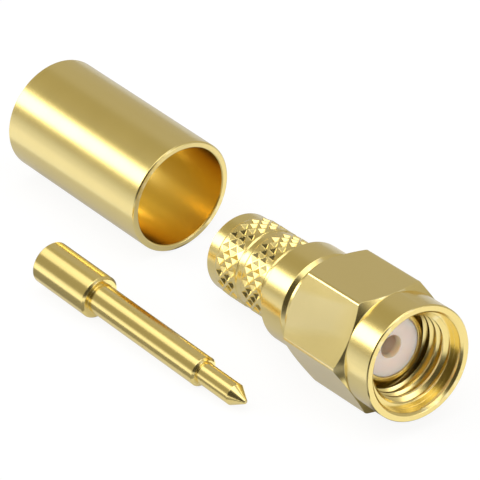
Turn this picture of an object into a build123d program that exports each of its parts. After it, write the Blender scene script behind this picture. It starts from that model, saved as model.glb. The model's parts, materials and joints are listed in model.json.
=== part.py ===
"""Crimp-type coaxial plug with a captive hexagon coupling nut, in millimetres.

The plug comes as three loose pieces that lie side by side on the bench: the
connector with its nut, the crimp ferrule and the centre contact pin.
Stations along the connector are measured from the front face of the nut and
are negative towards the cable. Z = 0 is the bench.
"""
import os
from math import asin, atan2, cos, degrees, pi, radians, sin, sqrt

from build123d import *

os.makedirs("parts", exist_ok=True)

# Coupling nut, outside
hex_flats = 8.0
hex_length = 6.30
hex_edge_round = 0.30
hex_front_bevel = 0.40
hex_rear_bevel = 0.55
ring_wall = 0.57
ring_length = 2.40
ring_edge = 0.07
boss_radius = 3.65
boss_length = 0.70
boss_edge = 0.08

# Coupling nut, inside
thread_radius = 2.83
thread_lead = 0.20
thread_length = 1.80
mouth_step = 0.57
mouth_depth = 0.75
mouth_edge = 0.09
relief_step = 0.42
relief_length = 2.55

# How the nut rides on the body
running_gap = 0.05
nut_float = 0.26
nose_gap = 0.03

# Retaining ring, a split snap ring half in the body and half in the nut
retainer_width = 0.45
retainer_sink = 0.38
retainer_stand = 0.27
retainer_split = 40.0
retainer_from_rear = 2.0
retainer_seat = 0.02

# Connector body, its walls measured outwards from the insulator's bore
insulator_bore = 2.09
nose_wall = 0.29
nose_length = 1.92
nose_edge = 0.05
neck_wall = 0.76
neck_edge = 0.15
collar_rise = 0.69
collar_length = 2.62
collar_front_bevel = 0.30
collar_rear_edge = 0.10
insulator_seat = 0.40
stem_wall = 1.08
stem_edge = 0.20
cable_bore_edge = 0.25

# Diamond knurl on the stem: two raised many-sided bands of sunk pyramids
knurl_height = 0.09
knurl_count = 20
knurl_columns = 4
knurl_rib = 0.066
knurl_depth = 0.26
knurl_lead = 1.02
knurl_space = 0.84
knurl_tail = 1.35
knurl_phase = 4.6
pit_overshoot = 1.20

# Insulator
insulator_fit = 0.01
insulator_setback = 0.07
insulator_web = 0.68
insulator_edge = 0.06

# Contact pin
pin_rear_radius = 1.53
pin_rear_length = 5.24
pin_mid_radius = 1.06
pin_mid_length = 10.42
pin_tip_radius = 0.76
pin_tip_length = 2.94
pin_cone_length = 1.02
pin_point_radius = 0.14
pin_rear_edge = 0.10
pin_step_edge = 0.16
pin_cup_radius = 0.78
pin_cup_depth = 4.40
pin_cup_cone = 0.45
pin_cup_edge = 0.12
pin_clearance = 0.04
pin_seat_gap = 0.10

# Crimp ferrule, which leaves room for the braid over the knurl
braid_room = 0.72
ferrule_wall = 0.48
ferrule_length = 13.86
ferrule_edge = 0.08

# Where the pieces lie on the bench: plan positions and headings
connector_x = 19.65
connector_y = 3.59
ferrule_x = -5.95
ferrule_y = 2.94
ferrule_heading = 4.74
pin_x = -2.05
pin_y = -6.05
pin_heading = 6.72

# Radii of the nut and of the body
mouth_radius = thread_radius + mouth_step
ring_radius = mouth_radius + ring_wall
relief_radius = thread_radius + relief_step
hex_corner = hex_flats / sqrt(3)
nose_radius = insulator_bore + nose_wall
neck_radius = insulator_bore + neck_wall
nut_bore = neck_radius + running_gap
retainer_inner_radius = neck_radius - retainer_sink
retainer_outer_radius = neck_radius + retainer_stand
collar_radius = neck_radius + collar_rise
cable_bore_radius = insulator_bore - insulator_seat
stem_radius = cable_bore_radius + stem_wall
knurl_crest = stem_radius + knurl_height
ferrule_bore = knurl_crest + braid_room
ferrule_radius = ferrule_bore + ferrule_wall

# Stations along the connector
hex_front = -ring_length
hex_rear = hex_front - hex_length
nut_rear = hex_rear - boss_length
mouth_end = -mouth_depth
thread_end = mouth_end - thread_lead - thread_length
relief_end = thread_end - relief_length
nose_front = thread_end - nose_gap
nose_rear = nose_front - nose_length
collar_front = nut_rear - nut_float
collar_rear = collar_front - collar_length
retainer_front = nut_rear + retainer_from_rear
retainer_rear = retainer_front - retainer_width
knurl_half = pi / knurl_count
knurl_pitch = 2 * knurl_crest * sin(knurl_half)
pit_reach = knurl_pitch / 2 - knurl_rib
knurl_width = (knurl_columns - 1) * knurl_pitch / 2 + 2 * pit_reach
front_knurl = collar_rear - knurl_lead
rear_knurl = front_knurl - knurl_width - knurl_space
stem_rear = rear_knurl - knurl_width - knurl_tail
insulator_front = nose_front - insulator_setback
insulator_length = insulator_web + pin_seat_gap + pin_mid_length
insulator_rear = insulator_front - insulator_length

# The connector rests on the rear edge of the nut's lower flat and the end of the stem
stem_contact = stem_rear + stem_edge
pitch = atan2(hex_flats / 2 - stem_radius, hex_rear - stem_contact)
axis_height = stem_radius * cos(pitch) - stem_contact * sin(pitch)
forward = Vector(cos(pitch), 0, sin(pitch))
sideways = Vector(0, 1, 0)
upward = forward.cross(sideways)
nut_front = Vector(connector_x, connector_y, axis_height)
connector_axis = Axis(nut_front, forward)
connector_profile = Plane(origin=nut_front, x_dir=forward, z_dir=(0, -1, 0))


def across(station):
    """Plane square to the connector at a station, its X along the bench."""
    return Plane(origin=nut_front + forward * station, x_dir=sideways, z_dir=forward)


# Coupling nut: a hexagon trimmed by cones, with a plain ring in front and a boss behind
with BuildPart() as coupling_nut:
    with BuildSketch(across(hex_rear)) as hexagon:
        RegularPolygon(radius=hex_flats / 2, side_count=6, major_radius=False)
        fillet(hexagon.vertices(), radius=hex_edge_round)
    extrude(amount=hex_length)
    with BuildSketch(connector_profile):
        with BuildLine():
            Polyline(
                (hex_front, 0),
                (hex_front, hex_flats / 2),
                (hex_front - hex_front_bevel, hex_corner),
                (hex_rear + hex_rear_bevel, hex_corner),
                (hex_rear, hex_flats / 2),
                (hex_rear, 0),
                close=True,
            )
        make_face()
    revolve(axis=connector_axis, mode=Mode.INTERSECT)
    with BuildSketch(connector_profile):
        with BuildLine():
            Polyline(
                (0, 0),
                (0, ring_radius - ring_edge),
                (-ring_edge, ring_radius),
                (hex_front - hex_front_bevel, ring_radius),
                (hex_front - hex_front_bevel, boss_radius),
                (nut_rear + boss_edge, boss_radius),
                (nut_rear, boss_radius - boss_edge),
                (nut_rear, 0),
                close=True,
            )
        make_face()
    revolve(axis=connector_axis)
    with BuildSketch(connector_profile):
        with BuildLine():
            Polyline(
                (0, 0),
                (0, mouth_radius + mouth_edge),
                (-mouth_edge, mouth_radius),
                (mouth_end, mouth_radius),
                (mouth_end, thread_radius + thread_lead),
                (mouth_end - thread_lead, thread_radius),
                (thread_end, thread_radius),
                (thread_end, relief_radius),
                (relief_end, relief_radius),
                (relief_end, nut_bore),
                (retainer_front + running_gap, nut_bore),
                (retainer_front + running_gap, retainer_outer_radius + running_gap),
                (retainer_rear - running_gap, retainer_outer_radius + running_gap),
                (retainer_rear - running_gap, nut_bore),
                (nut_rear, nut_bore),
                (nut_rear, 0),
                close=True,
            )
        make_face()
    revolve(axis=connector_axis, mode=Mode.SUBTRACT)
coupling_nut.part.label = "coupling_nut"
export_step(coupling_nut.part, "parts/coupling_nut.step")

# Retaining ring: split, seated in the groove of the neck
with BuildPart() as retaining_ring:
    with BuildSketch(connector_profile):
        with BuildLine():
            Polyline(
                (retainer_front, retainer_inner_radius),
                (retainer_front, retainer_outer_radius),
                (retainer_rear, retainer_outer_radius),
                (retainer_rear, retainer_inner_radius),
                close=True,
            )
        make_face()
    revolve(axis=connector_axis, revolution_arc=360 - retainer_split)
retaining_ring.part.label = "retaining_ring"
export_step(retaining_ring.part, "parts/retaining_ring.step")


def pit_corners(fall):
    """Bottom and rim of a pit in a surface that falls away to both sides by an angle."""
    bottom = Vector(0, 0, -knurl_depth)
    rim = [
        Vector(pit_reach, 0, 0),
        Vector(-pit_reach, 0, 0),
        Vector(0, pit_reach * cos(fall), -pit_reach * sin(fall)),
        Vector(0, -pit_reach * cos(fall), -pit_reach * sin(fall)),
    ]
    return [bottom] + [bottom + (corner - bottom) * pit_overshoot for corner in rim]


def pit_places(on_ridges):
    """Outward planes of the pits in the ridges, or in the flats, of both bands."""
    surface = knurl_crest if on_ridges else knurl_crest * cos(knurl_half)
    places = []
    for band_front, ridges_first in ((front_knurl, True), (rear_knurl, False)):
        for column in range(knurl_columns):
            if (column % 2 == 0) == (on_ridges == ridges_first):
                station = band_front - pit_reach - column * knurl_pitch / 2
                for row in range(knurl_count):
                    turn = radians(knurl_phase) + (2 * row + on_ridges) * knurl_half
                    outward = sideways * cos(turn) + upward * sin(turn)
                    centre = nut_front + forward * station + outward * surface
                    places.append(Plane(origin=centre, x_dir=forward, z_dir=outward))
    return places


# Connector body: nose tube, neck under the nut, collar and knurled crimp stem, bored through
with BuildPart() as connector_body:
    with BuildSketch(connector_profile):
        with BuildLine():
            Polyline(
                (nose_front, 0),
                (nose_front, nose_radius - nose_edge),
                (nose_front - nose_edge, nose_radius),
                (nose_rear, nose_radius),
                (nose_rear, neck_radius - neck_edge),
                (nose_rear - neck_edge, neck_radius),
                (retainer_front + retainer_seat, neck_radius),
                (retainer_front + retainer_seat, retainer_inner_radius - retainer_seat),
                (retainer_rear - retainer_seat, retainer_inner_radius - retainer_seat),
                (retainer_rear - retainer_seat, neck_radius),
                (collar_front, neck_radius),
                (collar_front, collar_radius - collar_front_bevel),
                (collar_front - collar_front_bevel, collar_radius),
                (collar_rear + collar_rear_edge, collar_radius),
                (collar_rear, collar_radius - collar_rear_edge),
                (collar_rear, stem_radius),
                (stem_contact, stem_radius),
                (stem_rear, stem_radius - stem_edge),
                (stem_rear, 0),
                close=True,
            )
        make_face()
    revolve(axis=connector_axis)
    for band_front in (front_knurl, rear_knurl):
        with BuildSketch(across(band_front - knurl_width)):
            RegularPolygon(knurl_crest, knurl_count, rotation=knurl_phase + degrees(knurl_half))
        extrude(amount=knurl_width)
    with Locations(*pit_places(True)):
        ConvexPolyhedron(pit_corners(knurl_half), mode=Mode.SUBTRACT)
    with Locations(*pit_places(False)):
        ConvexPolyhedron(pit_corners(0), mode=Mode.SUBTRACT)
    with BuildSketch(connector_profile):
        with BuildLine():
            Polyline(
                (nose_front, 0),
                (nose_front, insulator_bore),
                (insulator_rear, insulator_bore),
                (insulator_rear, cable_bore_radius),
                (stem_rear + cable_bore_edge, cable_bore_radius),
                (stem_rear, cable_bore_radius + cable_bore_edge),
                (stem_rear, 0),
                close=True,
            )
        make_face()
    revolve(axis=connector_axis, mode=Mode.SUBTRACT)
connector_body.part.label = "connector_body"
export_step(connector_body.part, "parts/connector_body.step")

# Insulator: fills the nose, with a small hole for the pin's tip and a wider bore behind it
with BuildPart() as insulator:
    tip_hole = pin_tip_radius + pin_clearance
    contact_bore = pin_mid_radius + pin_clearance
    insulator_radius = insulator_bore - insulator_fit
    with BuildSketch(connector_profile):
        with BuildLine():
            Polyline(
                (insulator_front - insulator_edge, tip_hole),
                (insulator_front, tip_hole + insulator_edge),
                (insulator_front, insulator_radius - insulator_edge),
                (insulator_front - insulator_edge, insulator_radius),
                (insulator_rear, insulator_radius),
                (insulator_rear, contact_bore),
                (insulator_front - insulator_web, contact_bore),
                (insulator_front - insulator_web, tip_hole),
                close=True,
            )
        make_face()
    revolve(axis=connector_axis)
insulator.part.label = "insulator"
export_step(insulator.part, "parts/insulator.step")

# Contact pin: it lies on the front edges of its thick end and of its middle
pin_rear_contact = -pin_step_edge
pin_mid_contact = pin_mid_length - pin_step_edge
pin_drop = pin_rear_radius - pin_mid_radius
pin_tilt = asin(pin_drop / sqrt((pin_mid_contact - pin_rear_contact) ** 2 + pin_drop**2))
pin_height = pin_rear_radius * cos(pin_tilt) + pin_rear_contact * sin(pin_tilt)
pin_plane = Plane(
    Location((pin_x, pin_y, pin_height), (0, 0, pin_heading)) * Location((0, 0, 0), (90, 0, 0))
    * Location((0, 0, 0), (0, 0, -degrees(pin_tilt)))
)
pin_tip_end = pin_mid_length + pin_tip_length
cup_floor = -pin_rear_length + pin_cup_depth
with BuildPart() as contact_pin:
    with BuildSketch(pin_plane):
        with BuildLine():
            Polyline(
                (-pin_rear_length, pin_cup_radius + pin_cup_edge),
                (-pin_rear_length, pin_rear_radius - pin_rear_edge),
                (-pin_rear_length + pin_rear_edge, pin_rear_radius),
                (-pin_step_edge, pin_rear_radius),
                (0, pin_rear_radius - pin_step_edge),
                (0, pin_mid_radius),
                (pin_mid_length - pin_step_edge, pin_mid_radius),
                (pin_mid_length, pin_mid_radius - pin_step_edge),
                (pin_mid_length, pin_tip_radius),
                (pin_tip_end, pin_tip_radius),
                (pin_tip_end + pin_cone_length, pin_point_radius),
                (pin_tip_end + pin_cone_length, 0),
                (cup_floor + pin_cup_cone, 0),
                (cup_floor, pin_cup_radius),
                (-pin_rear_length + pin_cup_edge, pin_cup_radius),
                close=True,
            )
        make_face()
    revolve(axis=Axis(pin_plane.origin, pin_plane.x_dir))
contact_pin.part.label = "contact_pin"
export_step(contact_pin.part, "parts/contact_pin.step")

# Crimp ferrule: a plain tube with softened ends, lying on its side
ferrule_mouth = Location((ferrule_x, ferrule_y, ferrule_radius), (0, 0, ferrule_heading))
with BuildPart() as crimp_ferrule:
    with BuildSketch(Plane(ferrule_mouth * Location((0, 0, 0), (0, 90, 0)))):
        Circle(ferrule_radius)
        Circle(ferrule_bore, mode=Mode.SUBTRACT)
    extrude(amount=-ferrule_length)
    chamfer(crimp_ferrule.edges().filter_by(GeomType.CIRCLE), length=ferrule_edge)
crimp_ferrule.part.label = "crimp_ferrule"
export_step(crimp_ferrule.part, "parts/crimp_ferrule.step")
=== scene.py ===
"""Dresses a gold-plated coaxial crimp plug: coupling nut, body, insulator, contact pin and ferrule.

Every piece is drawn in millimetres along its own X axis, as on a lathe, and is then laid where the
frame's joint and mounts say. Stations on the connector run from the nut's front face, negative to
the cable. Stations on the pin run from the shoulder of its thick end, and on the ferrule from its
middle.
"""
import json
from math import cos, pi, radians, sin, tan
from types import SimpleNamespace
from typing import NamedTuple

import bmesh
import bpy
from bpy.props import FloatProperty, FloatVectorProperty, IntProperty, PointerProperty
from mathutils import Matrix, Vector

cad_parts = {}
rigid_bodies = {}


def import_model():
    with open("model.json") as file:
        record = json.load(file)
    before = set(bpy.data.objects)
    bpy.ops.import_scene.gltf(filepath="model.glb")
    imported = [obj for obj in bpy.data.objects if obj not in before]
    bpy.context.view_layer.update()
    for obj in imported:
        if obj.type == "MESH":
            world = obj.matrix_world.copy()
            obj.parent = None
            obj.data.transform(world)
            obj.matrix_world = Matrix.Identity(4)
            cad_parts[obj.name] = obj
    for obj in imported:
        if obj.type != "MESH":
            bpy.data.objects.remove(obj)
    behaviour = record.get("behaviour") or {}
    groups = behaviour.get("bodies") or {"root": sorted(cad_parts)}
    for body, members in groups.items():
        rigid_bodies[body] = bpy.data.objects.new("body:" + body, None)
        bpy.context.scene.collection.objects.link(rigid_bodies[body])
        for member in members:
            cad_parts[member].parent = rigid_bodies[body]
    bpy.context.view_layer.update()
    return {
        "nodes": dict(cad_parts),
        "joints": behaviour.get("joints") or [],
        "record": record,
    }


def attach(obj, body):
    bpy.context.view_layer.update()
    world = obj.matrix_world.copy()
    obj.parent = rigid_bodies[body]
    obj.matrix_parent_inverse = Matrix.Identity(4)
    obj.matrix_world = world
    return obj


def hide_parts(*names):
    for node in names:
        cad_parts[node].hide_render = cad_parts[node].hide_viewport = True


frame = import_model()

bl_info = {
    "name": "Crimp plug",
    "version": (1, 0, 0),
    "blender": (4, 5, 0),
    "location": "View3D > Sidebar > Crimp plug",
    "description": "Builds a gold-plated coaxial crimp plug with its loose pin and ferrule",
    "category": "Add Mesh",
}

MM = 0.001
FULL_TURN = 2 * pi

# Takes a vector's part along X away
ACROSS_X = (0, 1, 1)

# The two pieces that some lamps are made for
PIN = "stepped_pin"
INSULATOR = "nose_insulator"

# How finely the pieces are drawn, with lengths in millimetres
TURN_STEPS = 180
MERGE = 0.0005
CUT_SLACK = MERGE / 10
SOFT_EDGE = 0.02
SOFT_SEGMENTS = 3
CORNER_SEGMENTS = 5
SHARP_ANGLE = radians(32)

# The blank is turned wider than the hexagon's corners, and each milled flat has more corners than any
# face of the blank
HEX_SIDES = 6
HEX_OVERCUT = 1.3
BLANK_CORNERS = 12

# Turns of thread that are drawn behind its rear and then cut off
THREAD_RUN_OUT = 2

# The gold's patterns, in metres or per metre, and where in their range they show
CLOUD_SCALE = 260.0
SPECK_SCALE = 420.0
SPECK_RANGE = (0.035, 0.02)
SHARP_EDGE_RANGE = (0.52, 0.60)
LINE_SCALE = 9000.0
LINE_SHARE = 0.5
LINE_BUMP = 0.02
LINE_DEPTH = 0.00002
ROUGH_RANGE = (0.4, 1.1)
ROUGH_SPREAD = 0.15
BORE_FADE = 0.00002
EDGE_SAMPLES = 4

# The insulator's wax, with the depths in metres between which painted shade turns its hole brown
WAX_SCALE = 900.0
WAX_ROUGHNESS = 0.45
WAX_SCATTER = (1.0, 0.75, 0.6)
HOLE_SHADE_FADE = (0.00006, 0.00012)

# The snap ring's bronze
BRONZE_SCALE = 1500.0
BRONZE_ROUGHNESS = (0.25, 0.45)

# The camera's sensor, in millimetres, and the nearest that it sees, in metres
SENSOR_WIDTH = 36.0
CLIP_START = 0.01

# The dark card, with its corners and its height above the floor in millimetres
CARD_CORNERS = ((12.5, -5.5), (23, -2.5), (250, -45), (110, -250))
CARD_HEIGHT = 0.05
CARD_COLOUR = (0.02, 0.018, 0.015)
CARD_ROUGHNESS = 0.9

# How far above the floor its lamps lie, in metres
LAMP_HEIGHT = 0.0001

NUT_JOINT = frame["joints"][0]
MOUNTS = {mount["name"]: mount for mount in frame["record"]["mounts"]}


def length(name, description, amount):
    """A length property, given in millimetres."""
    return FloatProperty(
        name=name, description=description, default=amount * MM, unit="LENGTH", precision=5
    )


def colour(name, description, red, green, blue):
    """A linear colour property, which for a light holds its strength too."""
    return FloatVectorProperty(
        name=name, description=description, default=(red, green, blue), subtype="COLOR", min=0.0
    )


def level(name, description, amount):
    """A plain number from nought upwards, such as a roughness or a strength."""
    return FloatProperty(name=name, description=description, default=amount, min=0.0, precision=3)


def angle(name, description, amount):
    """An angle property, given in degrees."""
    return FloatProperty(name=name, description=description, default=radians(amount), subtype="ANGLE")


def count(name, description, amount, fewest):
    """A whole number of like features."""
    return IntProperty(name=name, description=description, default=amount, min=fewest)


class NutSizes(bpy.types.PropertyGroup):
    """Coupling nut."""

    across_flats: length("Across flats", "Spanner size of the hexagon", 8.0)
    hex_length: length("Hexagon length", "Length of the hexagon along the axis", 6.30)
    corner_round: length("Corner round", "Radius on the hexagon's long edges", 0.30)
    front_bevel: length("Front bevel", "Length of the cone at the front of the hexagon's corners", 0.40)
    rear_bevel: length("Rear bevel", "Length of the cone at the rear of the hexagon's corners", 0.55)
    ring_wall: length("Ring wall", "Wall of the plain ring in front", 0.57)
    ring_length: length("Ring length", "Length of the plain ring in front", 2.40)
    ring_edge: length("Ring edge", "Bevel on the ring's outer edge", 0.07)
    boss_radius: length("Boss radius", "Radius of the boss behind the hexagon", 3.65)
    boss_length: length("Boss length", "Length of the boss behind the hexagon", 0.70)
    boss_edge: length("Boss edge", "Bevel on the boss", 0.08)
    mouth_step: length("Mouth step", "How far the mouth stands outside the thread's crests", 0.57)
    mouth_depth: length("Mouth depth", "Depth of the mouth's counterbore", 0.75)
    mouth_edge: length("Mouth edge", "Bevel inside the mouth", 0.16)
    thread_pitch: length("Thread pitch", "Pitch of the 36 per inch coupling thread", 25.4 / 36)
    thread_depth: length("Thread depth", "From the thread's crests to its roots", 0.37)
    thread_crest: length("Thread crest", "Width of the flat on the thread's crests", 0.16)
    thread_root: length("Thread root", "Width of the flat in the thread's roots", 0.09)
    thread_lead: length("Thread lead", "Bevel where the thread starts", 0.20)
    thread_length: length("Thread length", "From the mouth's floor to the last turn", 2.60)
    thread_turn: angle("Thread turn", "Where around the axis the thread starts", 60.0)
    relief_step: length("Relief step", "How far the relief stands outside the thread's crests", 0.42)
    relief_end: length("Relief end", "Depth of the relief from the front face", 5.30)
    bore_radius: length("Bore radius", "Bore that runs on the body's neck", 2.90)
    groove_radius: length("Groove radius", "Bottom of the groove for the snap ring", 3.17)
    groove_width: length("Groove width", "Width of the groove for the snap ring", 0.55)
    groove_from_rear: length("Groove from rear", "From the rear face to the groove's front", 2.05)


class BodySizes(bpy.types.PropertyGroup):
    """Connector body with its knurled crimp stem."""

    insulator_bore: length("Insulator bore", "Bore that holds the insulator", 2.09)
    nose_front: length("Nose front", "Depth of the nose behind the nut's front face", 2.78)
    nose_wall: length("Nose wall", "Wall of the nose tube", 0.29)
    nose_length: length("Nose length", "Length of the nose tube", 1.92)
    nose_edge: length("Nose edge", "Bevel on the nose", 0.05)
    neck_radius: length("Neck radius", "Neck that the nut turns on", 2.85)
    neck_edge: length("Neck edge", "Bevel at the neck's front", 0.15)
    groove_radius: length("Groove radius", "Bottom of the groove for the snap ring", 2.45)
    groove_front: length("Groove front", "Depth of the groove's front wall", 7.38)
    groove_width: length("Groove width", "Width of the groove for the snap ring", 0.49)
    collar_radius: length("Collar radius", "Collar behind the nut", 3.54)
    collar_front: length("Collar front", "Depth of the collar's front face", 9.66)
    collar_length: length("Collar length", "Length of the collar", 2.62)
    collar_front_bevel: length("Collar front bevel", "Bevel at the collar's front", 0.30)
    collar_rear_edge: length("Collar rear edge", "Bevel at the collar's rear", 0.10)
    stem_radius: length("Stem radius", "Plain parts of the crimp stem", 2.77)
    stem_rear: length("Stem rear", "Depth of the stem's end", 19.70)
    stem_edge: length("Stem edge", "Bevel on the stem's end", 0.20)
    bore_front: length("Bore front", "Depth where the cable bore meets the insulator", 14.05)
    bore_edge: length("Bore edge", "Bevel in the mouth of the cable bore", 0.25)
    knurl_height: length("Knurl height", "How far the knurl stands above the stem", 0.09)
    knurl_depth: length("Knurl depth", "Depth of each sunk diamond", 0.26)
    knurl_rib: length("Knurl rib", "Half the width of the ribs between the diamonds", 0.047)
    knurl_front: length("Knurl front", "Depth of the front band", 13.30)
    knurl_space: length("Knurl space", "Plain stem between the bands", 0.84)
    knurl_overlap: length("Knurl overlap", "Rib in front of and behind each band of diamonds", 0.066)
    knurl_slope: length("Knurl slope", "Length of the slope from the plain stem up to the knurl", 0.15)
    knurl_lip: length("Knurl lip", "How far the slope ends below the knurl's flats", 0.008)
    knurl_count: count("Knurl count", "Diamonds around the stem", 20, 6)
    knurl_columns: count("Knurl columns", "Diamonds along each band", 4, 1)
    knurl_turn: angle("Knurl turn", "Where around the axis the first diamond stands", 13.6)


class InsulatorSizes(bpy.types.PropertyGroup):
    """Insulator in the nose."""

    radius: length("Radius", "Outside of the insulator", 2.08)
    front: length("Front", "Depth of the front face behind the nut's front face", 2.85)
    rear: length("Rear", "Depth of the rear face", 14.05)
    web: length("Web", "Thickness of the front wall around the pin's tip", 0.68)
    tip_hole: length("Tip hole", "Radius of the hole for the pin's tip", 0.78)
    tip_edge: length("Tip edge", "Bevel on the hole's front edge", 0.02)
    contact_bore: length("Contact bore", "Radius of the bore for the pin's middle", 1.10)
    edge: length("Edge", "Bevel on the front edges", 0.06)


class PinSizes(bpy.types.PropertyGroup):
    """Loose centre contact pin."""

    rear_radius: length("Rear radius", "Thick end", 1.53)
    rear_length: length("Rear length", "Length of the thick end", 5.24)
    mid_radius: length("Middle radius", "Middle of the pin", 1.06)
    mid_length: length("Middle length", "Length of the middle", 10.42)
    tip_radius: length("Tip radius", "Thin end", 0.76)
    tip_length: length("Tip length", "Length of the thin end", 2.94)
    cone_length: length("Cone length", "Length of the point", 1.02)
    point_radius: length("Point radius", "Flat at the very tip", 0.14)
    rear_edge: length("Rear edge", "Bevel on the rear face", 0.10)
    step_edge: length("Step edge", "Bevel on the two shoulders", 0.16)
    cup_depth: length("Cup depth", "Depth of the cup for the conductor", 4.40)
    cup_cone: length("Cup cone", "Drill point at the cup's floor", 0.45)
    cup_edge: length("Cup edge", "Bevel in the cup's mouth", 0.12)


class FerruleSizes(bpy.types.PropertyGroup):
    """Loose crimp ferrule."""

    wall: length("Wall", "Wall of the tube", 0.48)
    tube_length: length("Length", "Length of the tube", 13.86)
    edge: length("Edge", "Bevel on the ends", 0.08)


class Finishes(bpy.types.PropertyGroup):
    """Colours and finishes."""

    gold: colour("Gold", "Plating where it is cleanest", 0.93, 0.76, 0.31)
    gold_warm: colour("Warm gold", "Plating where it is a little warmer", 0.91, 0.73, 0.28)
    # Painted shade together with thinner plating: the warmer, darker gold inside the ferrule's bore
    gold_bore_plating_and_shade: colour("Bore gold", "Thinner plating inside the ferrule", 0.90, 0.67, 0.19)
    # Paler gold on sharp convex edges, where the surface's pointiness is high
    gold_sharp_edges: colour("Worn gold", "Plating that is rubbed bright on the edges", 0.96, 0.82, 0.42)
    speck: colour("Specks", "Dust and pin holes in the plating", 0.50, 0.36, 0.14)
    gold_roughness: level("Gold roughness", "Roughness of the bright plating", 0.20)
    satin_roughness: level("Satin roughness", "Roughness of the ferrule's softer plating", 0.22)
    soft_edge: length("Soft edge", "How wide the sharp edges of the metal look rounded", 0.045)
    insulator: colour("Insulator", "White insulator", 0.82, 0.71, 0.65)
    insulator_shade: colour("Insulator shade", "Insulator where it is handled", 0.77, 0.65, 0.59)
    # Painted shade: the browner tint inside the hole for the pin
    insulator_hole_shade: colour("Insulator hole", "Insulator inside the hole for the pin", 0.97, 0.75, 0.57)
    insulator_glow: length("Insulator glow", "How far light wanders inside the insulator", 1.0)
    bronze: colour("Bronze", "Snap ring", 0.62, 0.40, 0.17)


class StageSettings(bpy.types.PropertyGroup):
    """Camera, floor and light."""

    view_turn: angle("View turn", "Camera's heading, from straight on to the right", 34.6515)
    view_height: angle("View height", "Camera's height above the floor, as an angle", 33.3053)
    view_distance: length("View distance", "From the camera to the point it looks at", 267.087)
    lens: level("Lens", "Focal length on a 36 mm sensor", 296.13)
    aim_x: length("Aim X", "Point on the floor that the camera looks at", -4.467)
    aim_y: length("Aim Y", "Point on the floor that the camera looks at", 6.721)
    floor_size: length("Floor size", "Half the side of the floor", 3000.0)
    floor: colour("Floor", "Pale floor", 0.88, 0.88, 0.88)
    floor_mirrored: level("Mirrored floor", "Grey that the floor shows in the metal", 0.30)
    floor_shadow: level("Floor shadow", "Grey that the floor shows the camera by the lamps' light", 0.13)
    floor_white: level("Floor white", "Light that the floor shows the camera of its own", 0.89)
    surround: colour("Surround", "Light from no special side", 0.50, 0.475, 0.43)
    back: colour("Back", "Light from behind", 0.49, 0.463, 0.41)
    back_dip: colour("Back dip", "Light from the darker gap beside the back", 0.41, 0.37, 0.25)
    right: colour("Right", "Light from the right, which reaches into the nut", 2.9, 2.9, 2.9)
    overhead: colour("Overhead", "Light from overhead", 1.9, 1.9, 1.9)
    camera_side: colour("Camera side", "Light from the camera's side", 0.07, 0.065, 0.05)
    left_gap: colour("Left gap", "Light from around the softbox", 0.39, 0.36, 0.27)
    softbox: level("Softbox", "Light of the long softbox on the left", 3.0)
    softbox_halo: level("Softbox halo", "Light of the softbox's dim edge", 0.4)
    floor_tint: colour("Floor tint", "Colour of the light off the floor", 0.98, 1.02, 1.22)
    floor_fill: level("Floor fill", "Light of the floor that all but the pin see", 0.32)
    floor_strip: level("Floor strip", "Light of the bright floor in front of the pieces", 0.38)
    floor_far: level("Far floor", "Light of the floor beyond the bright strip", 0.17)
    pin_strip: level("Pin strip", "Light of the far floor that only the pin sees", 1.0)
    pin_floor: level("Pin floor", "Light of the floor under the pin that only the pin sees", 0.45)
    pin_far_floor: level("Pin far floor", "Light of the floor behind the pin that only the pin sees", 1.0)
    pin_horizon: level("Pin horizon", "Light low above the far floor that only the pin sees", 0.6)
    pin_softbox: level("Pin softbox", "Light of the high softbox that only the pin sees", 0.72)
    front_floor: level("Front floor", "Light of the bright floor in front of the nut", 0.72)
    ferrule_floor: level("Ferrule floor", "Light of the bright floor in front of the ferrule", 0.40)
    nose_lamp: level("Nose lamp", "Light of the lamp that only the insulator sees", 11.5)


def lay(point, direction):
    """Matrix that lays a piece's X axis along a direction through a point, with its Y axis level."""
    along = Vector(direction).normalized()
    sideways = Vector((0, 0, 1)).cross(along).normalized()
    upward = along.cross(sideways)
    return Matrix.Translation(point) @ Matrix((along, sideways, upward)).transposed().to_4x4()


def connector_place():
    """The connector lies along the nut's joint, from the nut's front face."""
    return lay(Vector(NUT_JOINT["pos_m"]), NUT_JOINT["axis"])


def ferrule_place():
    """The ferrule lies along its bore, from its middle."""
    bore = MOUNTS["ferrule_bore"]
    return lay(Vector(bore["pos_m"]), -Vector(bore["axis"]))


def pin_place(pin):
    """The pin lies along its cup, from the shoulder of its thick end."""
    cup = MOUNTS["conductor_cup"]
    forward = -Vector(cup["axis"]).normalized()
    cup_middle = -pin.rear_length + (pin.cup_edge + pin.cup_depth) / 2
    return lay(Vector(cup["pos_m"]) - forward * cup_middle * MM, forward)


def millimetres(group):
    """The values of a property group, with its lengths turned into millimetres."""
    values = SimpleNamespace()
    for name, prop in group.bl_rna.properties.items():
        if name not in ("rna_type", "name"):
            value = getattr(group, name)
            setattr(values, name, value / MM if prop.unit == "LENGTH" else value)
    return values


def outline(bm, corners, closed):
    """Draws a profile of (station, radius) corners in the XY plane and softens each corner."""
    points = [bm.verts.new((station, radius, 0)) for station, radius in corners]
    ends = points[1:] + points[:1] if closed else points[1:]
    for pair in zip(points, ends):
        bm.edges.new(pair)
    bmesh.ops.bevel(
        bm,
        geom=points if closed else points[1:-1],
        offset=SOFT_EDGE,
        offset_type="OFFSET",
        segments=SOFT_SEGMENTS,
        profile=0.5,
        affect="VERTICES",
        clamp_overlap=True,
        material=-1,
    )


def spin(bm, geom, turned, steps, **settings):
    """Spins a part of the mesh about X."""
    bmesh.ops.spin(bm, geom=geom, cent=(0, 0, 0), axis=(1, 0, 0), angle=turned, steps=steps, **settings)


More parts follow.
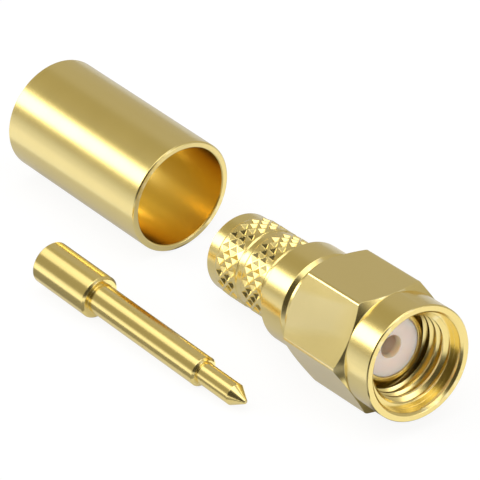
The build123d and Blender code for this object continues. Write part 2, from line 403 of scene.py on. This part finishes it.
def cut(bm, point, normal, **cleared):
    """Cuts the whole mesh at a plane, clears one side of it and returns the cut edges."""
    everything = bm.verts[:] + bm.edges[:] + bm.faces[:]
    made = bmesh.ops.bisect_plane(
        bm, geom=everything, dist=CUT_SLACK, plane_co=point, plane_no=normal, **cleared
    )
    return [item for item in made["geom_cut"] if isinstance(item, bmesh.types.BMEdge)]


def turn(bm):
    """Spins the loose edges of the mesh about X and closes the seam and the poles."""
    edges = [edge for edge in bm.edges if not edge.link_faces]
    points = {point for edge in edges for point in edge.verts}
    spin(bm, [*points, *edges], FULL_TURN, TURN_STEPS, use_merge=True)
    bmesh.ops.remove_doubles(bm, verts=bm.verts[:], dist=MERGE)
    bmesh.ops.dissolve_degenerate(bm, edges=bm.edges[:], dist=CUT_SLACK)


def lathe(corners, closed):
    """A new mesh that is turned from one profile."""
    bm = bmesh.new()
    outline(bm, corners, closed)
    turn(bm)
    return bm


def close_at(bm, station):
    """Fills the flat face between the two open rims that lie in the plane of a station."""
    rims = [
        edge
        for edge in bm.edges
        if edge.is_boundary and all(abs(point.co.x - station) < MERGE for point in edge.verts)
    ]
    bmesh.ops.triangle_fill(bm, edges=rims, use_beauty=True, normal=(1, 0, 0))


def finish_piece(bm, name, place, material, body, replaced):
    """Turns a drawn piece into an object in the frame's place, riding on its body.

    Its normals are weighted in millimetres, because in metres its faces are too small for that.
    """
    open_edges = sum(edge.is_boundary for edge in bm.edges)
    if open_edges:
        raise RuntimeError(f"{name} has {open_edges} open edges")
    bmesh.ops.recalc_face_normals(bm, faces=bm.faces[:])
    for face in bm.faces:
        face.smooth = True
    drawn = bpy.data.meshes.new("drawn")
    bm.to_mesh(drawn)
    bm.free()
    drawn.set_sharp_from_angle(angle=SHARP_ANGLE)
    piece = bpy.data.objects.new(name, drawn)
    bpy.context.scene.collection.objects.link(piece)
    normals = piece.modifiers.new("Weighted normals", "WEIGHTED_NORMAL")
    normals.keep_sharp = True
    seen = piece.evaluated_get(bpy.context.evaluated_depsgraph_get())
    piece.data = bpy.data.meshes.new_from_object(seen)
    piece.modifiers.clear()
    bpy.data.meshes.remove(drawn)
    piece.data.name = name
    piece.data.transform(place @ Matrix.Scale(MM, 4))
    piece.data.materials.append(material)
    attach(piece, body)
    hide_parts(replaced)


def nut_profile(nut, crest):
    """Corners of the nut from the mouth's floor, round the outside, to the relief behind the thread."""
    flat = nut.across_flats / 2
    corner_rise = flat / cos(pi / HEX_SIDES) - flat
    blank = flat + HEX_OVERCUT * corner_rise
    mouth = crest + nut.mouth_step
    ring = mouth + nut.ring_wall
    hex_front = -nut.ring_length
    hex_rear = hex_front - nut.hex_length
    rear = hex_rear - nut.boss_length
    groove_front = rear + nut.groove_from_rear
    relief = crest + nut.relief_step
    return [
        (-nut.mouth_depth, mouth),
        (-nut.mouth_edge, mouth),
        (0, mouth + nut.mouth_edge),
        (0, ring - nut.ring_edge),
        (-nut.ring_edge, ring),
        (hex_front, ring),
        (hex_front - HEX_OVERCUT * nut.front_bevel, blank),
        (hex_rear + HEX_OVERCUT * nut.rear_bevel, blank),
        (hex_rear, flat),
        (hex_rear, nut.boss_radius),
        (rear + nut.boss_edge, nut.boss_radius),
        (rear, nut.boss_radius - nut.boss_edge),
        (rear, nut.bore_radius),
        (groove_front - nut.groove_width, nut.bore_radius),
        (groove_front - nut.groove_width, nut.groove_radius),
        (groove_front, nut.groove_radius),
        (groove_front, nut.bore_radius),
        (-nut.relief_end, nut.bore_radius),
        (-nut.relief_end, relief),
        (-nut.mouth_depth - nut.thread_length, relief),
    ]


def mill_hexagon(bm, nut):
    """Cuts the six flats into the turned blank and rounds the long edges between them."""
    for side in range(HEX_SIDES):
        turned = FULL_TURN * (side + 0.5) / HEX_SIDES
        outward = Vector((0, cos(turned), sin(turned)))
        rim = cut(bm, outward * nut.across_flats / 2, outward, clear_outer=True)
        bmesh.ops.edgeloop_fill(bm, edges=rim)
    flats = {face for face in bm.faces if len(face.verts) > BLANK_CORNERS}
    if len(flats) != HEX_SIDES:
        raise RuntimeError(f"the hexagon has {len(flats)} flats")
    corners = [edge for edge in bm.edges if all(face in flats for face in edge.link_faces)]
    bmesh.ops.bevel(
        bm,
        geom=corners,
        offset=nut.corner_round * tan(pi / HEX_SIDES),
        offset_type="OFFSET",
        segments=CORNER_SEGMENTS,
        profile=0.5,
        affect="EDGES",
        material=-1,
    )


def thread_tube(nut, crest):
    """An open tube with a right-hand inside thread, bevelled where it starts."""
    bm = bmesh.new()
    flank = (nut.thread_pitch - nut.thread_crest - nut.thread_root) / 2
    front = -nut.mouth_depth
    rear = front - nut.thread_length
    turns = int(nut.thread_length / nut.thread_pitch) + THREAD_RUN_OUT + 1
    start = rear - THREAD_RUN_OUT * nut.thread_pitch
    profile = [
        (0, 0),
        (nut.thread_crest, 0),
        (nut.thread_crest + flank / 2, nut.thread_depth / 2),
        (nut.thread_crest + flank, nut.thread_depth),
        (nut.thread_crest + flank + nut.thread_root, nut.thread_depth),
        (nut.thread_pitch - flank / 2, nut.thread_depth / 2),
        (nut.thread_pitch, 0),
    ]
    points = [bm.verts.new((start + along, crest + deep, 0)) for along, deep in profile]
    edges = [bm.edges.new(pair) for pair in zip(points, points[1:])]
    bmesh.ops.rotate(bm, verts=points, cent=(0, 0, 0), matrix=Matrix.Rotation(nut.thread_turn, 3, "X"))
    advance = (nut.thread_pitch / TURN_STEPS, 0, 0)
    spin(bm, points + edges, FULL_TURN * turns, TURN_STEPS * turns, dvec=advance)
    bmesh.ops.remove_doubles(bm, verts=bm.verts[:], dist=MERGE)
    cut(bm, (front, 0, 0), (1, 0, 0), clear_outer=True)
    cut(bm, (rear, 0, 0), (1, 0, 0), clear_inner=True)
    for point in bm.verts:
        radius = point.co.yz.length
        lead = crest + nut.thread_lead - (front - point.co.x)
        if radius < lead:
            point.co.yz *= lead / radius
    return bm


def draw_nut(nut):
    """The turned, milled and threaded coupling nut."""
    crest = MOUNTS["coupling_thread"]["dims"]["r_mm"]
    bm = lathe(nut_profile(nut, crest), closed=False)
    mill_hexagon(bm, nut)
    thread = thread_tube(nut, crest)
    mesh = bpy.data.meshes.new("thread")
    thread.to_mesh(mesh)
    thread.free()
    bm.from_mesh(mesh)
    bpy.data.meshes.remove(mesh)
    close_at(bm, -nut.mouth_depth)
    close_at(bm, -nut.mouth_depth - nut.thread_length)
    return bm


def around(station, radius, turned):
    """Point at a station, a radius and an angle about X, from Y towards Z."""
    return (station, radius * cos(turned), radius * sin(turned))


def ring_of_faces(bm, corners, copies):
    """Makes one face from its corners and repeats it around X."""
    points = [bm.verts.new(corner) for corner in corners]
    face = bm.faces.new(points)
    last_turn = FULL_TURN * (copies - 1) / copies
    spin(bm, [*points, *face.edges, face], last_turn, copies - 1, use_duplicate=True)


def knurl_band(bm, body, front, first_turn):
    """One band of the knurl, as a net of cells with a row of plain triangles at each end.

    Returns the station of the band's rear.
    """
    crest = body.stem_radius + body.knurl_height
    half = pi / body.knurl_count
    reach = crest * sin(half)
    last = body.knurl_columns - 1
    rear = front - reach * (last + 2)
    for column in range(body.knurl_columns):
        middle = front - reach * (column + 1)
        turned = first_turn + column * half
        cell = [
            around(middle + reach, crest, turned),
            around(middle, crest, turned + half),
            around(middle - reach, crest, turned),
            around(middle, crest, turned - half),
        ]
        ring_of_faces(bm, cell, body.knurl_count)
    for tip, inner, turned in (
        (front, front - reach, first_turn),
        (rear, rear + reach, first_turn + last * half),
    ):
        triangle = [
            around(tip, crest, turned),
            around(inner, crest, turned + half),
            around(tip, crest, turned + 2 * half),
        ]
        ring_of_faces(bm, triangle, body.knurl_count)
    return rear


def sink_diamonds(bm, body):
    """Leaves a rib around each cell of the net and sinks its middle to a point."""
    bmesh.ops.remove_doubles(bm, verts=bm.verts[:], dist=MERGE)
    bmesh.ops.recalc_face_normals(bm, faces=bm.faces[:])
    cells = [face for face in bm.faces if len(face.verts) == 4]
    for face in bm.faces:
        if face.normal.dot(Vector((0, *face.calc_center_median().yz))) < 0:
            face.normal_flip()
    bmesh.ops.inset_individual(bm, faces=cells, thickness=body.knurl_rib, use_even_offset=True)
    bmesh.ops.poke(bm, faces=cells, offset=-body.knurl_depth)


def knurl_foot(body):
    """Radius at which the plain stem meets the ends of the many-sided knurl."""
    crest = body.stem_radius + body.knurl_height
    return crest * cos(pi / body.knurl_count) - body.knurl_lip


def body_profile(body, knurl_front, knurl_rear):
    """Corners of the body from the knurl's front, round the nose and the bores, to the knurl's rear."""
    nose = body.insulator_bore + body.nose_wall
    nose_rear = -body.nose_front - body.nose_length
    collar_rear = -body.collar_front - body.collar_length
    cable_bore = MOUNTS["cable_bore"]["dims"]["r_mm"]
    foot = knurl_foot(body)
    return [
        (knurl_front, foot),
        (knurl_front + body.knurl_slope, body.stem_radius),
        (collar_rear, body.stem_radius),
        (collar_rear, body.collar_radius - body.collar_rear_edge),
        (collar_rear + body.collar_rear_edge, body.collar_radius),
        (-body.collar_front - body.collar_front_bevel, body.collar_radius),
        (-body.collar_front, body.collar_radius - body.collar_front_bevel),
        (-body.collar_front, body.neck_radius),
        (-body.groove_front - body.groove_width, body.neck_radius),
        (-body.groove_front - body.groove_width, body.groove_radius),
        (-body.groove_front, body.groove_radius),
        (-body.groove_front, body.neck_radius),
        (nose_rear - body.neck_edge, body.neck_radius),
        (nose_rear, body.neck_radius - body.neck_edge),
        (nose_rear, nose),
        (-body.nose_front - body.nose_edge, nose),
        (-body.nose_front, nose - body.nose_edge),
        (-body.nose_front, body.insulator_bore),
        (-body.bore_front, body.insulator_bore),
        (-body.bore_front, cable_bore),
        (-body.stem_rear + body.bore_edge, cable_bore),
        (-body.stem_rear, cable_bore + body.bore_edge),
        (-body.stem_rear, body.stem_radius - body.stem_edge),
        (-body.stem_rear + body.stem_edge, body.stem_radius),
        (knurl_rear - body.knurl_slope, body.stem_radius),
        (knurl_rear, foot),
    ]


def draw_body(body):
    """The turned body with two bands of diamond knurl on its stem."""
    bm = bmesh.new()
    half = pi / body.knurl_count
    front = -body.knurl_front + body.knurl_overlap
    front_end = knurl_band(bm, body, front, body.knurl_turn)
    second = front_end - body.knurl_space + 2 * body.knurl_overlap
    second_end = knurl_band(bm, body, second, body.knurl_turn + half)
    sink_diamonds(bm, body)
    outline(bm, body_profile(body, front, second_end), closed=False)
    foot = knurl_foot(body)
    middle = [
        (front_end, foot),
        (front_end - body.knurl_slope, body.stem_radius),
        (second + body.knurl_slope, body.stem_radius),
        (second, foot),
    ]
    outline(bm, middle, closed=False)
    turn(bm)
    for station in (front, front_end, second, second_end):
        close_at(bm, station)
    return bm


def draw_insulator(insulator):
    """The white insulator with its stepped bore."""
    front = -insulator.front
    step = front - insulator.web
    corners = [
        (front - insulator.tip_edge, insulator.tip_hole),
        (front, insulator.tip_hole + insulator.tip_edge),
        (front, insulator.radius - insulator.edge),
        (front - insulator.edge, insulator.radius),
        (-insulator.rear, insulator.radius),
        (-insulator.rear, insulator.contact_bore),
        (step, insulator.contact_bore),
        (step, insulator.tip_hole),
    ]
    return lathe(corners, closed=True)


def draw_pin(pin):
    """The stepped contact pin, with a cup in its thick end."""
    cup = MOUNTS["conductor_cup"]["dims"]["r_mm"]
    floor = -pin.rear_length + pin.cup_depth
    tip_end = pin.mid_length + pin.tip_length
    corners = [
        (tip_end + pin.cone_length, 0),
        (tip_end + pin.cone_length, pin.point_radius),
        (tip_end, pin.tip_radius),
        (pin.mid_length, pin.tip_radius),
        (pin.mid_length, pin.mid_radius - pin.step_edge),
        (pin.mid_length - pin.step_edge, pin.mid_radius),
        (0, pin.mid_radius),
        (0, pin.rear_radius - pin.step_edge),
        (-pin.step_edge, pin.rear_radius),
        (-pin.rear_length + pin.rear_edge, pin.rear_radius),
        (-pin.rear_length, pin.rear_radius - pin.rear_edge),
        (-pin.rear_length, cup + pin.cup_edge),
        (-pin.rear_length + pin.cup_edge, cup),
        (floor, cup),
        (floor + pin.cup_cone, 0),
    ]
    return lathe(corners, closed=False)


def draw_ferrule(ferrule):
    """The plain crimp ferrule with softened ends."""
    bore = MOUNTS["ferrule_bore"]["dims"]["r_mm"]
    outside = bore + ferrule.wall
    end = ferrule.tube_length / 2
    corners = [
        (end, bore + ferrule.edge),
        (end, outside - ferrule.edge),
        (end - ferrule.edge, outside),
        (-end + ferrule.edge, outside),
        (-end, outside - ferrule.edge),
        (-end, bore + ferrule.edge),
        (-end + ferrule.edge, bore),
        (end - ferrule.edge, bore),
    ]
    return lathe(corners, closed=True)


def new_material(name):
    """A node material and its shader."""
    material = bpy.data.materials.new(name)
    material.use_nodes = True
    return material, material.node_tree.nodes["Principled BSDF"]


def feed(tree, fed, inputs):
    """Gives inputs of a node, by their names or numbers, a link or a plain value."""
    for name, value in inputs.items():
        if isinstance(value, bpy.types.NodeSocket):
            tree.links.new(value, fed.inputs[name])
        else:
            fed.inputs[name].default_value = value


def node(tree, kind, inputs, **settings):
    """A new node with its inputs and settings."""
    made = tree.nodes.new(kind)
    feed(tree, made, inputs)
    for name, value in settings.items():
        setattr(made, name, value)
    return made


def blend(tree, share, first, second):
    """The colour between two, each a socket or a plain colour."""
    ends = [end if isinstance(end, bpy.types.NodeSocket) else (*end, 1) for end in (first, second)]
    return node(tree, "ShaderNodeMix", {0: share, 6: ends[0], 7: ends[1]}, data_type="RGBA").outputs[2]


def ramp(tree, value, start, end, low=0.0, high=1.0):
    """A value taken from one range to another, held at both ends."""
    return node(
        tree,
        "ShaderNodeMapRange",
        {"Value": value, "From Min": start, "From Max": end, "To Min": low, "To Max": high},
    ).outputs["Result"]


def vector_math(tree, operation, *vectors):
    """Outputs of a calculation with one vector or two."""
    return node(tree, "ShaderNodeVectorMath", dict(enumerate(vectors)), operation=operation).outputs


def object_position(tree):
    """Position in the object's own coordinates."""
    return tree.nodes.new("ShaderNodeTexCoord").outputs["Object"]


def lathe_position(tree, place):
    """Position along the axes in which a piece was drawn."""
    return node(
        tree,
        "ShaderNodeMapping",
        {
            "Vector": object_position(tree),
            "Location": place.to_translation(),
            "Rotation": place.to_euler(),
        },
        vector_type="TEXTURE",
    ).outputs["Vector"]


def station_along(tree, own):
    """How far along a piece's X axis a position lies."""
    return node(tree, "ShaderNodeSeparateXYZ", {0: own}).outputs["X"]


def distance_from_axis(tree, own):
    """How far from a piece's X axis a position lies."""
    across = vector_math(tree, "MULTIPLY", own, ACROSS_X)["Vector"]
    return vector_math(tree, "LENGTH", across)["Value"]


def noise(tree, position, scale, detail):
    """Soft noise around one half."""
    inputs = {"Vector": position, "Scale": scale, "Detail": detail}
    return node(tree, "ShaderNodeTexNoise", inputs).outputs["Fac"]


def gold_colour(tree, own, radius, cloud, finishes, bore):
    """Gold that varies a little, is warmer and darker in a bore from thinner plating and painted shade,
    holds a few specks and is paler on sharp convex edges.
    """
    tint = blend(tree, cloud, finishes.gold, finishes.gold_warm)
    # Painted shade together with thinner plating: a warmer, darker gold inside the bore
    inside = ramp(tree, radius, bore + BORE_FADE, bore - BORE_FADE)
    tint = blend(tree, inside, tint, finishes.gold_bore_plating_and_shade)
    dots = node(tree, "ShaderNodeTexVoronoi", {"Vector": own, "Scale": SPECK_SCALE})
    specks = ramp(tree, dots.outputs["Distance"], *SPECK_RANGE)
    tint = blend(tree, specks, tint, finishes.speck)
    # Paler gold on sharp convex edges, found by pointiness
    edge = tree.nodes.new("ShaderNodeNewGeometry").outputs["Pointiness"]
    return blend(tree, ramp(tree, edge, *SHARP_EDGE_RANGE), tint, finishes.gold_sharp_edges)


def gold_plating(name, place, finishes, roughness, bore=0.0):
    """Gold plating over turned brass, with lathe lines about the piece's own axis and soft edges."""
    material, shader = new_material(name)
    tree = material.node_tree
    own = lathe_position(tree, place)
    radius = distance_from_axis(tree, own)
    turned = node(tree, "ShaderNodeCombineXYZ", {"X": station_along(tree, own), "Y": radius})
    cloud = noise(tree, own, CLOUD_SCALE, detail=3.0)
    lines = noise(tree, turned.outputs[0], LINE_SCALE, detail=2.0)
    both = node(tree, "ShaderNodeMath", {0: lines, 1: LINE_SHARE, 2: cloud}, operation="MULTIPLY_ADD")
    smoothest = roughness * (1 - ROUGH_SPREAD)
    roughest = roughness * (1 + ROUGH_SPREAD)
    rounded = node(tree, "ShaderNodeBevel", {"Radius": finishes.soft_edge}, samples=EDGE_SAMPLES)
    bump = node(
        tree,
        "ShaderNodeBump",
        {"Strength": LINE_BUMP, "Distance": LINE_DEPTH, "Height": lines, "Normal": rounded.outputs[0]},
    )
    inputs = {
        "Base Color": gold_colour(tree, own, radius, cloud, finishes, bore),
        "Metallic": 1.0,
        "Roughness": ramp(tree, both.outputs[0], *ROUGH_RANGE, smoothest, roughest),
        "Normal": bump.outputs[0],
    }
    feed(tree, shader, inputs)
    return material


def white_insulator(place, finishes, front):
    """Waxy white insulator, with painted shade that makes it browner behind its front face."""
    material, shader = new_material("white_insulator")
    tree = material.node_tree
    cloud = noise(tree, object_position(tree), WAX_SCALE, detail=4.0)
    tint = blend(tree, cloud, finishes.insulator, finishes.insulator_shade)
    station = station_along(tree, lathe_position(tree, place))
    # Painted shade: browner behind the front face, inside the hole
    behind = ramp(tree, station, *(-front - depth for depth in HOLE_SHADE_FADE))
    inputs = {
        "Base Color": blend(tree, behind, tint, finishes.insulator_hole_shade),
        "Roughness": WAX_ROUGHNESS,
        "Subsurface Weight": 1.0,
        "Subsurface Radius": WAX_SCATTER,
        "Subsurface Scale": finishes.insulator_glow,
    }
    feed(tree, shader, inputs)
    return material


def spring_bronze(finishes):
    """Plain spring bronze with a dull sheen."""
    material, shader = new_material("spring_bronze")
    tree = material.node_tree
    cloud = noise(tree, object_position(tree), BRONZE_SCALE, detail=3.0)
    rough = ramp(tree, cloud, 0.0, 1.0, *BRONZE_ROUGHNESS)
    feed(tree, shader, {"Base Color": (*finishes.bronze, 1), "Metallic": 1.0, "Roughness": rough})
    return material


class CRIMPPLUG_OT_nut(bpy.types.Operator):
    """Turn, mill and thread the coupling nut"""

    bl_idname = "crimp_plug.nut"
    bl_label = "Coupling nut"

    def execute(self, context):
        place = connector_place()
        finishes = context.scene.crimp_finishes
        material = gold_plating("nut_gold", place, finishes, finishes.gold_roughness)
        bm = draw_nut(millimetres(context.scene.crimp_nut))
        finish_piece(bm, "threaded_nut", place, material, "nut", "coupling_nut")
        return {"FINISHED"}


class CRIMPPLUG_OT_body(bpy.types.Operator):
    """Turn the connector body and knurl its stem"""

    bl_idname = "crimp_plug.body"
    bl_label = "Connector body"

    def execute(self, context):
        place = connector_place()
        finishes = context.scene.crimp_finishes
        material = gold_plating("body_gold", place, finishes, finishes.gold_roughness)
        bm = draw_body(millimetres(context.scene.crimp_body))
        finish_piece(bm, "knurled_body", place, material, "connector", "connector_body")
        return {"FINISHED"}


class CRIMPPLUG_OT_insulator(bpy.types.Operator):
    """Turn the insulator"""

    bl_idname = "crimp_plug.insulator"
    bl_label = "Insulator"

    def execute(self, context):
        place = connector_place()
        front = context.scene.crimp_insulator.front
        material = white_insulator(place, context.scene.crimp_finishes, front)
        bm = draw_insulator(millimetres(context.scene.crimp_insulator))
        finish_piece(bm, INSULATOR, place, material, "connector", "insulator")
        return {"FINISHED"}


class CRIMPPLUG_OT_pin(bpy.types.Operator):
    """Turn the contact pin"""

    bl_idname = "crimp_plug.pin"
    bl_label = "Contact pin"

    def execute(self, context):
        pin = millimetres(context.scene.crimp_pin)
        place = pin_place(pin)
        finishes = context.scene.crimp_finishes
        material = gold_plating("pin_gold", place, finishes, finishes.gold_roughness)
        finish_piece(draw_pin(pin), PIN, place, material, "connector", "contact_pin")
        return {"FINISHED"}


class CRIMPPLUG_OT_ferrule(bpy.types.Operator):
    """Make the crimp ferrule"""

    bl_idname = "crimp_plug.ferrule"
    bl_label = "Crimp ferrule"

    def execute(self, context):
        place = ferrule_place()
        finishes = context.scene.crimp_finishes
        bore = MOUNTS["ferrule_bore"]["dims"]["r_mm"] * MM + finishes.soft_edge
        material = gold_plating("ferrule_gold", place, finishes, finishes.satin_roughness, bore)
        bm = draw_ferrule(millimetres(context.scene.crimp_ferrule))
        finish_piece(bm, "ferrule_tube", place, material, "connector", "crimp_ferrule")
        return {"FINISHED"}


class CRIMPPLUG_OT_retainer(bpy.types.Operator):
    """Give the snap ring its finish"""

    bl_idname = "crimp_plug.retainer"
    bl_label = "Snap ring"

    def execute(self, context):
        material = spring_bronze(context.scene.crimp_finishes)
        for slot in frame["nodes"]["retaining_ring"].material_slots:
            slot.material = material
        return {"FINISHED"}


class PanelLamp(NamedTuple):
    """A rectangular lamp of even light, in metres, whose long side runs at a heading from X, in degrees.

    It faces the origin if nothing else is said. Only the named piece sees it, and if none is named, all
    but the pin see it.
    """

    middle: tuple
    long_side: float
    short_side: float
    facing: tuple = None
    heading: float = 0.0
    only: str = None
    tinted: bool = False


def floor_lamp(x, y, long_side, short_side, **settings):
    """A lamp that lies on the floor and shines up, as a bright stretch of the floor."""
    return PanelLamp((x, y, LAMP_HEIGHT), long_side, short_side, facing=(0, 0, 1), **settings)


# Each lamp's strength is the stage setting of the same name
LAMPS = {
    "softbox": PanelLamp((-0.62, -0.66, 0.43), 1.1, 0.36),
    "softbox_halo": PanelLamp((-0.62, -0.66, 0.43), 1.2, 0.56),
    "floor_fill": floor_lamp(-0.2915, 0.0, 0.617, 0.6, tinted=True),
    "floor_strip": floor_lamp(-0.020, -0.0105, 0.10, 0.011, tinted=True),
    "floor_far": floor_lamp(-0.020, -0.026, 0.14, 0.020, tinted=True),
    "pin_strip": floor_lamp(-0.0387, -0.0505, 0.13, 0.064, heading=10, only=PIN),
    "pin_floor": floor_lamp(0.0022, -0.0057, 0.022, 0.0032, heading=6.72, only=PIN),
    "pin_far_floor": floor_lamp(0.001, -0.0030, 0.020, 0.0030, heading=6.72, only=PIN),
    "pin_horizon": PanelLamp((-0.049, -0.093, 0.006), 0.3, 0.012, facing=(0.515, 0.857, 0), only=PIN),
    "pin_softbox": PanelLamp((-0.55, -0.29, 0.79), 1.0, 0.54, only=PIN),
    "ferrule_floor": floor_lamp(0.006, 0.014, 0.024, 0.016),
    "front_floor": floor_lamp(0.050, 0.022, 0.06, 0.050),
    "nose_lamp": PanelLamp((0.69, -0.42, 0.55), 0.3, 0.3, only=INSULATOR),
}


class Patch(NamedTuple):
    """A soft patch of the surround, at a heading from X and a height above the horizon.

    It is full up to the inner half angle and gone at the outer one. A band runs along X instead of being
    round. All its angles are in degrees.
    """

    heading: float
    height: float
    inner: float
    outer: float
    band: bool = False


# Laid over each other in this order. Each patch's light is the stage setting of the same name
PATCHES = {
    "back": Patch(155, 20, 40, 65),
    "back_dip": Patch(-177, 45, 8, 22),
    "left_gap": Patch(-90, 38, 22, 34, band=True),
    "right": Patch(25, 20, 11, 18),
    "overhead": Patch(-60, 78, 28, 40),
    "camera_side": Patch(-42, 5, 42, 54),
}


def stage_object(bm, name, material):
    """An object of the stage from a drawn mesh and its material."""
    mesh = bpy.data.meshes.new(name)
    bm.to_mesh(mesh)
    bm.free()
    mesh.materials.append(material)
    made = bpy.data.objects.new(name, mesh)
    bpy.context.scene.collection.objects.link(made)
    return made


def floor_material(stage):
    """Pale floor that looks white to the camera, with a faint shadow, and grey in the metal."""
    material, shader = new_material("pale_floor")
    tree = material.node_tree
    tree.nodes.remove(shader)
    path = tree.nodes.new("ShaderNodeLightPath").outputs
    grey = blend(tree, path["Is Glossy Ray"], stage.floor, [stage.floor_mirrored] * 3)
    grey = blend(tree, path["Is Camera Ray"], grey, [stage.floor_shadow] * 3)
    matt = node(tree, "ShaderNodeBsdfDiffuse", {"Color": grey})
    shown = {0: path["Is Camera Ray"], 1: stage.floor_white}
    glow = node(tree, "ShaderNodeMath", shown, operation="MULTIPLY")
    white = node(tree, "ShaderNodeEmission", {"Color": (1, 1, 1, 1), "Strength": glow.outputs[0]})
    both = node(tree, "ShaderNodeAddShader", {0: matt.outputs[0], 1: white.outputs[0]})
    feed(tree, tree.nodes["Material Output"], {"Surface": both.outputs[0]})
    return material


def make_floor(stage):
    """A large pale floor at bench height."""
    bm = bmesh.new()
    bmesh.ops.create_grid(bm, x_segments=1, y_segments=1, size=stage.floor_size)
    stage_object(bm, "floor", floor_material(stage))


def make_card():
    """A dark card on the floor at the camera's side, which only the metal sees."""
    bm = bmesh.new()
    bm.faces.new([bm.verts.new(Vector((*corner, CARD_HEIGHT)) * MM) for corner in CARD_CORNERS])
    material, shader = new_material("dark_card")
    feed(material.node_tree, shader, {"Base Color": (*CARD_COLOUR, 1), "Roughness": CARD_ROUGHNESS})
    card = stage_object(bm, "dark_card", material)
    for ray in ("camera", "diffuse", "transmission", "shadow"):
        setattr(card, f"visible_{ray}", False)


def make_lamp(name, panel, stage):
    """One lamp of the list, linked to the pieces that see it."""
    data = bpy.data.lights.new(name, "AREA")
    data.shape = "RECTANGLE"
    data.size = panel.long_side
    data.size_y = panel.short_side
    data.energy = pi * panel.long_side * panel.short_side * getattr(stage, name)
    if panel.tinted:
        data.color = stage.floor_tint
    backward = -Vector(panel.facing) if panel.facing else Vector(panel.middle)
    backward.normalize()
    heading = radians(panel.heading)
    sideways = Vector((cos(heading), sin(heading), 0))
    sideways = (sideways - backward * sideways.dot(backward)).normalized()
    turned = Matrix((sideways, backward.cross(sideways), backward)).transposed()
    lamp = bpy.data.objects.new(name, data)
    lamp.matrix_world = Matrix.Translation(panel.middle) @ turned.to_4x4()
    bpy.context.scene.collection.objects.link(lamp)
    linked = bpy.data.collections.new(name)
    linked.objects.link(bpy.data.objects[panel.only or PIN])
    lamp.light_linking.receiver_collection = linked
    for entry in linked.collection_objects:
        entry.light_linking.link_state = "INCLUDE" if panel.only else "EXCLUDE"


def toward(heading, height):
    """Unit vector at a heading from X and a height above the horizon."""
    return Vector((cos(height) * cos(heading), cos(height) * sin(heading), sin(height)))


def make_camera(stage):
    """Camera at the photograph's angle."""
    outward = toward(-stage.view_turn, stage.view_height)
    data = bpy.data.cameras.new("camera")
    data.sensor_width = SENSOR_WIDTH
    data.lens = stage.lens
    data.clip_start = CLIP_START
    camera = bpy.data.objects.new("camera", data)
    camera.location = Vector((stage.aim_x, stage.aim_y, 0)) + outward * stage.view_distance
    camera.rotation_euler = outward.to_track_quat("Z", "Y").to_euler()
    bpy.context.scene.collection.objects.link(camera)
    bpy.context.scene.camera = camera


def patch_share(tree, direction, patch):
    """Share from 0 to 1 that a patch has of the light from a direction."""
    middle = toward(radians(patch.heading), radians(patch.height))
    nearness = vector_math(tree, "DOT_PRODUCT", direction, middle)["Value"]
    ends = {"From Min": cos(radians(patch.outer)), "From Max": cos(radians(patch.inner))}
    return node(
        tree, "ShaderNodeMapRange", {"Value": nearness, **ends}, interpolation_type="SMOOTHSTEP"
    ).outputs["Result"]


def make_world(stage):
    """Studio surround of even light, with lighter and darker patches."""
    world = bpy.data.worlds.new("studio")
    bpy.context.scene.world = world
    world.use_nodes = True
    tree = world.node_tree
    direction = tree.nodes.new("ShaderNodeTexCoord").outputs["Generated"]
    across = vector_math(tree, "MULTIPLY", direction, ACROSS_X)["Vector"]
    across = vector_math(tree, "NORMALIZE", across)["Vector"]
    glow = stage.surround
    for name, patch in PATCHES.items():
        share = patch_share(tree, across if patch.band else direction, patch)
        glow = blend(tree, share, glow, getattr(stage, name))
    feed(tree, tree.nodes["Background"], {"Color": glow})


class CRIMPPLUG_OT_stage(bpy.types.Operator):
    """Set the floor, the light and the camera"""

    bl_idname = "crimp_plug.stage"
    bl_label = "Stage"

    def execute(self, context):
        stage = context.scene.crimp_stage
        make_floor(stage)
        make_card()
        for name, panel in LAMPS.items():
            make_lamp(name, panel, stage)
        make_world(stage)
        make_camera(stage)
        context.scene.view_settings.view_transform = "Standard"
        return {"FINISHED"}


class CRIMPPLUG_PT_panel(bpy.types.Panel):
    """Lists the sizes and the pieces"""

    bl_idname = "CRIMPPLUG_PT_panel"
    bl_label = "Crimp plug"
    bl_space_type = "VIEW_3D"
    bl_region_type = "UI"
    bl_category = "Crimp plug"

    def draw(self, context):
        for operator in OPERATORS:
            self.layout.operator(operator.bl_idname)
        for name, group in GROUPS.items():
            box = self.layout.box()
            box.label(text=group.__doc__)
            for prop in group.__annotations__:
                box.prop(getattr(context.scene, name), prop)


OPERATORS = (
    CRIMPPLUG_OT_nut,
    CRIMPPLUG_OT_body,
    CRIMPPLUG_OT_insulator,
    CRIMPPLUG_OT_pin,
    CRIMPPLUG_OT_ferrule,
    CRIMPPLUG_OT_retainer,
    CRIMPPLUG_OT_stage,
)
GROUPS = {
    "crimp_nut": NutSizes,
    "crimp_body": BodySizes,
    "crimp_insulator": InsulatorSizes,
    "crimp_pin": PinSizes,
    "crimp_ferrule": FerruleSizes,
    "crimp_finishes": Finishes,
    "crimp_stage": StageSettings,
}


def register():
    """Adds the property groups, the operators and the panel."""
    for name, group in GROUPS.items():
        bpy.utils.register_class(group)
        setattr(bpy.types.Scene, name, PointerProperty(type=group))
    for operator in OPERATORS:
        bpy.utils.register_class(operator)
    bpy.utils.register_class(CRIMPPLUG_PT_panel)


def unregister():
    """Takes them away again."""
    bpy.utils.unregister_class(CRIMPPLUG_PT_panel)
    for operator in reversed(OPERATORS):
        bpy.utils.unregister_class(operator)
    for name, group in reversed(GROUPS.items()):
        delattr(bpy.types.Scene, name)
        bpy.utils.unregister_class(group)


def main():
    """Builds every piece, then the stage."""
    register()
    bpy.ops.crimp_plug.nut()
    bpy.ops.crimp_plug.body()
    bpy.ops.crimp_plug.insulator()
    bpy.ops.crimp_plug.pin()
    bpy.ops.crimp_plug.ferrule()
    bpy.ops.crimp_plug.retainer()
    bpy.ops.crimp_plug.stage()


if __name__ == "__main__":
    main()
